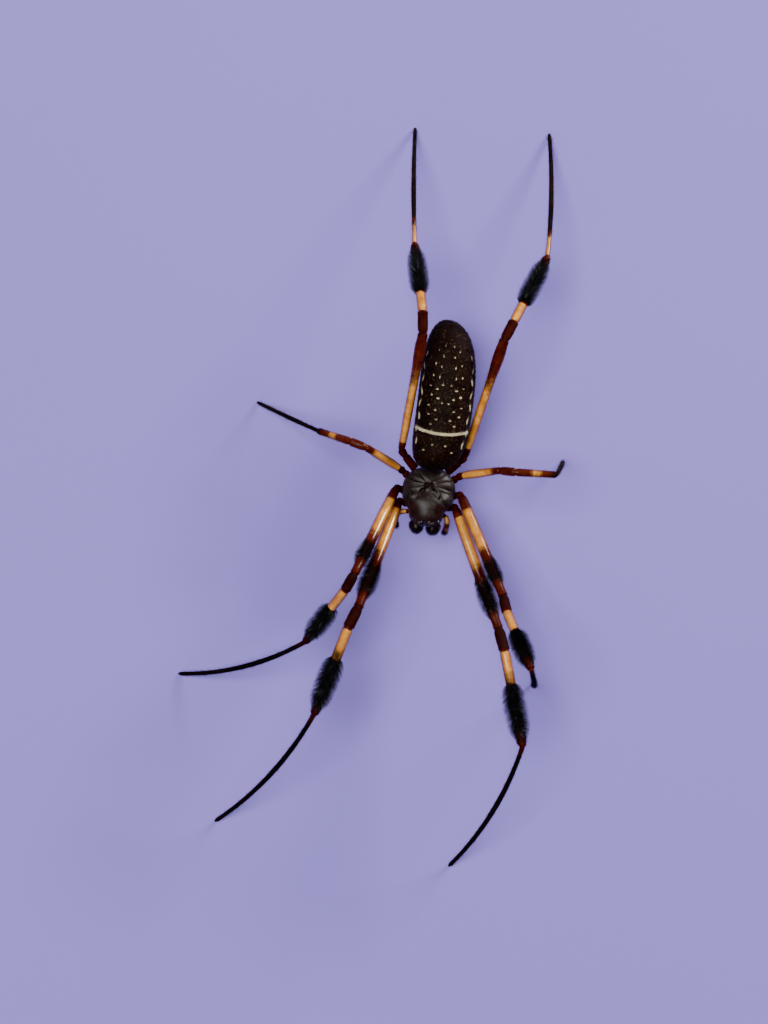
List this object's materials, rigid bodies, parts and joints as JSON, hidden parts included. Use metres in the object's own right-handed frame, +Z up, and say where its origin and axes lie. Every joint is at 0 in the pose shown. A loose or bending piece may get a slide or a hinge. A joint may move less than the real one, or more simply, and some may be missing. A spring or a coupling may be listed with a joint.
{
  "type": "golden silk orb weaver spider",
  "caption": "Life-size still model of a female golden silk orb weaver, standing on spread legs with hair brushes on thighs and shins, long barrel abdomen and small raised head.",
  "frame": {"origin": "on the floor, under the middle of the box round the whole stance", "axes": "+Z up; the head looks along -Y, turned 6.5 degrees to its right; the spider's own left side is +X"},
  "size_m": [0.0526, 0.1006, 0.0197],
  "materials": {
    "carapace": "dark brown cuticle under short silver-grey hair",
    "abdomen": "olive brown skin with pale spots and a pale band, fine short hair",
    "dark_cuticle": "dark red-brown cuticle",
    "red_brown_cuticle": "red-brown cuticle, satin",
    "amber_cuticle": "translucent amber cuticle with dark ends",
    "brush_cuticle": "black hair brush round an amber and red-brown shin",
    "black_cuticle": "near black cuticle, satin, with sparse hair",
    "chelicera": "glossy black",
    "eye": "wet black"
  },
  "bodies": {
    "root": {"cephalothorax": "carapace", "abdomen": "abdomen", "pedicel": "dark_cuticle", "spinnerets": "abdomen", "chelicera_left": "chelicera", "fang_left": "chelicera", "palp_left": "amber_cuticle", "eye_anterior_median_left": "eye", "eye_posterior_median_left": "eye", "eye_anterior_lateral_left": "eye", "eye_posterior_lateral_left": "eye", "coxa_I_left": "dark_cuticle", "femur_I_left": "amber_cuticle", "patella_I_left": "red_brown_cuticle", "tibia_I_left": "brush_cuticle", "metatarsus_I_left": "black_cuticle", "coxa_II_left": "dark_cuticle", "femur_II_left": "amber_cuticle", "patella_II_left": "red_brown_cuticle", "tibia_II_left": "brush_cuticle", "metatarsus_II_left": "black_cuticle", "coxa_III_left": "dark_cuticle", "femur_III_left": "amber_cuticle", "patella_III_left": "red_brown_cuticle", "tibia_III_left": "red_brown_cuticle", "metatarsus_III_left": "black_cuticle", "coxa_IV_left": "dark_cuticle", "femur_IV_left": "amber_cuticle", "patella_IV_left": "red_brown_cuticle", "tibia_IV_left": "brush_cuticle", "metatarsus_IV_left": "black_cuticle", "chelicera_right": "chelicera", "fang_right": "chelicera", "palp_right": "amber_cuticle", "eye_anterior_median_right": "eye", "eye_posterior_median_right": "eye", "eye_anterior_lateral_right": "eye", "eye_posterior_lateral_right": "eye", "coxa_I_right": "dark_cuticle", "femur_I_right": "amber_cuticle", "patella_I_right": "red_brown_cuticle", "tibia_I_right": "brush_cuticle", "metatarsus_I_right": "black_cuticle", "coxa_II_right": "dark_cuticle", "femur_II_right": "amber_cuticle", "patella_II_right": "red_brown_cuticle", "tibia_II_right": "brush_cuticle", "metatarsus_II_right": "black_cuticle", "coxa_III_right": "dark_cuticle", "femur_III_right": "amber_cuticle", "patella_III_right": "red_brown_cuticle", "tibia_III_right": "red_brown_cuticle", "metatarsus_III_right": "black_cuticle", "coxa_IV_right": "dark_cuticle", "femur_IV_right": "amber_cuticle", "patella_IV_right": "red_brown_cuticle", "tibia_IV_right": "brush_cuticle", "metatarsus_IV_right": "black_cuticle"}
  },
  "joints": []
}
